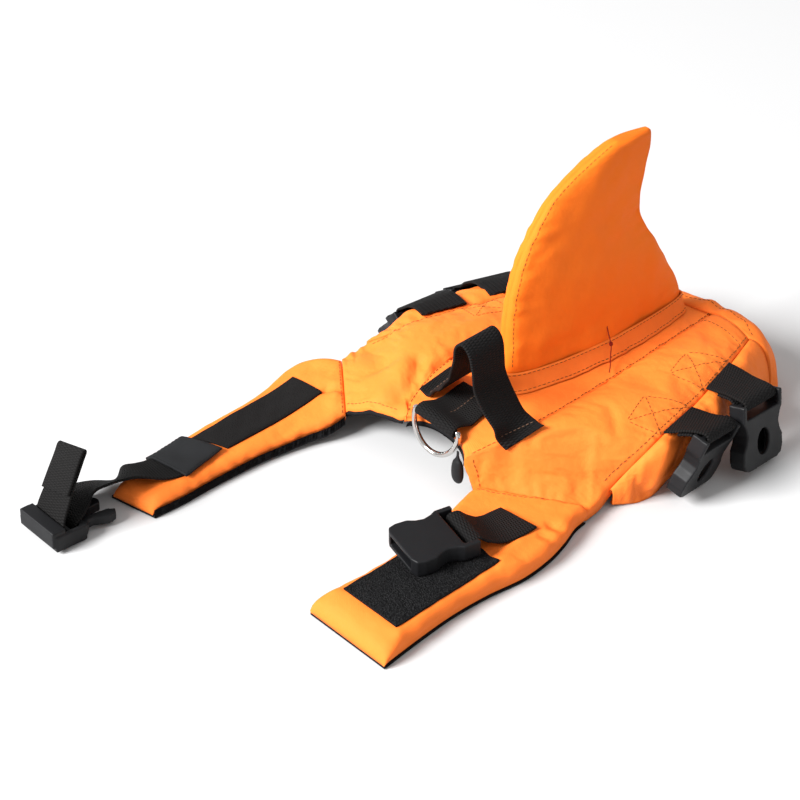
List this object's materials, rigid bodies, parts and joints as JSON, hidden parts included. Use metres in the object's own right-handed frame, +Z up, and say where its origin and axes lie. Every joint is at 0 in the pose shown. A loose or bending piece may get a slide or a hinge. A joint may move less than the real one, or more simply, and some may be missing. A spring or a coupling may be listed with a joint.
{
  "type": "dog life jacket",
  "caption": "Padded dog life jacket with a shark fin on its back, a grab handle, a leash ring and belly and neck straps with side release buckles, laid flat with its neck arms open.",
  "frame": {"origin": "middle of the jacket on the surface it lies on", "axes": "+Z up, -Y towards the neck and its open arms, +Y towards the tail, +X towards the wearer side whose neck arm carries the hook tape"},
  "size_m": [0.2554, 0.4158, 0.1725],
  "materials": {
    "orange_cloth": "woven, matte",
    "fin_cloth": "woven, matte",
    "black_lining": "woven, matte",
    "black_webbing": "ribbed webbing, matte",
    "black_tape": "hook or loop pile, matte",
    "black_plastic": "satin",
    "nickel": "bright plated"
  },
  "bodies": {
    "jacket": {"centre_band": "orange_cloth", "near_pad": "orange_cloth", "far_pad": "orange_cloth", "near_flap": "orange_cloth", "far_flap": "orange_cloth", "tail_flap": "orange_cloth", "near_arm": "orange_cloth", "far_arm": "orange_cloth", "near_arm_lining": "black_lining", "far_arm_lining": "black_lining", "neck_lining_band": "black_lining", "neck_lining_far": "black_lining", "fin": "fin_cloth", "fin_skirt": "orange_cloth", "handle": "black_webbing", "ring_loop": "black_webbing", "pull_tab": "black_plastic", "neck_strap": "black_webbing", "hook_patch": "black_tape", "loop_strip": "black_tape", "keeper_patch": "black_webbing", "neck_webbing": "black_webbing", "neck_buckle_male": "black_plastic", "belly_strap_near_front": "black_webbing", "belly_strap_near_rear": "black_webbing", "belly_strap_far_front": "black_webbing", "belly_strap_far_rear": "black_webbing"},
    "d_ring": {"d_ring": "nickel"},
    "neck_buckle_female": {"neck_buckle_female": "black_plastic"},
    "belly_buckle_near_front": {"belly_buckle_near_front": "black_plastic"},
    "belly_buckle_near_rear": {"belly_buckle_near_rear": "black_plastic"},
    "belly_buckle_far_front": {"belly_buckle_far_front": "black_plastic"},
    "belly_buckle_far_rear": {"belly_buckle_far_rear": "black_plastic"}
  },
  "joints": [
    {"name": "d_ring_hinge", "type": "hinge", "parent": "jacket", "child": "d_ring", "pos_m": [0.00344, -0.01517, 0.0402], "axis": [0.9909, 0.0604, -0.1207], "range_deg": [-150, 0]},
    {"name": "neck_buckle_hinge", "type": "hinge", "parent": "jacket", "child": "neck_buckle_female", "pos_m": [0.06284, -0.05537, 0.0209], "axis": [-0.9627, 0.2707, 0], "range_deg": [0, 90]},
    {"name": "belly_near_front_hinge", "type": "hinge", "parent": "jacket", "child": "belly_buckle_near_front", "pos_m": [0.11654, 0.08563, 0.041], "axis": [-0.1252, 0.97, -0.2086], "range_deg": [-60, 0]},
    {"name": "belly_near_rear_hinge", "type": "hinge", "parent": "jacket", "child": "belly_buckle_near_rear", "pos_m": [0.11304, 0.12513, 0.0412], "axis": [-0.04, 0.9907, -0.1301], "range_deg": [-60, 0]},
    {"name": "belly_far_front_hinge", "type": "hinge", "parent": "jacket", "child": "belly_buckle_far_front", "pos_m": [-0.10026, 0.07263, 0.0256], "axis": [0.1301, 0.9915, 0], "range_deg": [0, 45]},
    {"name": "belly_far_rear_hinge", "type": "hinge", "parent": "jacket", "child": "belly_buckle_far_rear", "pos_m": [-0.09796, 0.12163, 0.019], "axis": [0.36, 0.933, 0], "range_deg": [0, 45]}
  ]
}
